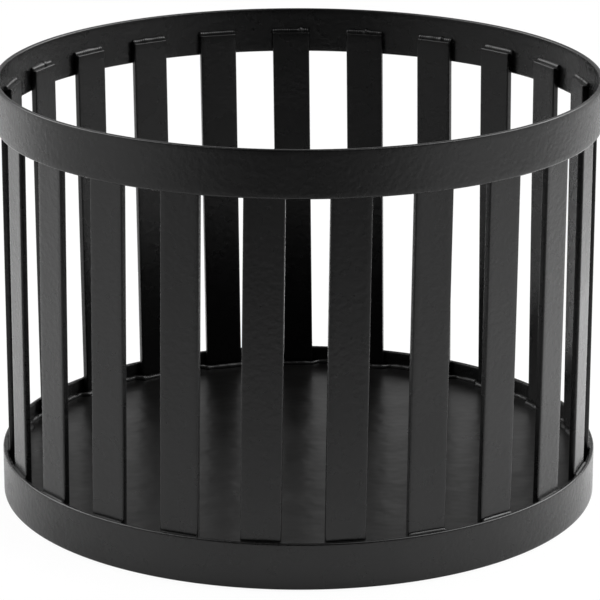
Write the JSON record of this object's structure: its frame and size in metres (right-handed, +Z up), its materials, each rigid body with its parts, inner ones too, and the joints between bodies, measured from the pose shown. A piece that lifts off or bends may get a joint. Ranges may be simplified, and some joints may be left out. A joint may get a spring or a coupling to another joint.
{
  "type": "log basket",
  "caption": "Round open-topped firewood log basket: two steel hoops joined by upright flat slats inside, with a solid round floor plate.",
  "frame": {"origin": "on the basket's axis, at the level of the floor it stands on", "axes": "+Z up along the basket's axis; -Y is the side seen in front"},
  "size_m": [0.39, 0.39, 0.2775],
  "materials": {
    "hoop_coat": "satin black powder coat with a fine orange-peel texture",
    "slat_coat": "satin black powder coat with a fine orange-peel texture",
    "plate_coat": "satin black powder coat with faint cloudy streaks",
    "weld_coat": "satin black powder coat over rippled weld beads"
  },
  "bodies": {
    "root": {"top_ring": "hoop_coat", "bottom_ring": "hoop_coat", "base_plate": "plate_coat", "slat_01": "slat_coat", "slat_02": "slat_coat", "slat_03": "slat_coat", "slat_04": "slat_coat", "slat_05": "slat_coat", "slat_06": "slat_coat", "slat_07": "slat_coat", "slat_08": "slat_coat", "slat_09": "slat_coat", "slat_10": "slat_coat", "slat_11": "slat_coat", "slat_12": "slat_coat", "slat_13": "slat_coat", "slat_14": "slat_coat", "slat_15": "slat_coat", "slat_16": "slat_coat", "slat_17": "slat_coat", "slat_18": "slat_coat", "slat_19": "slat_coat", "slat_20": "slat_coat", "slat_21": "slat_coat", "slat_22": "slat_coat", "slat_23": "slat_coat", "top_slat_welds": "weld_coat", "bottom_slat_welds": "weld_coat", "rim_slat_welds": "weld_coat", "plate_weld": "weld_coat", "top_ring_closing_weld": "weld_coat", "bottom_ring_closing_weld": "weld_coat"}
  },
  "joints": []
}
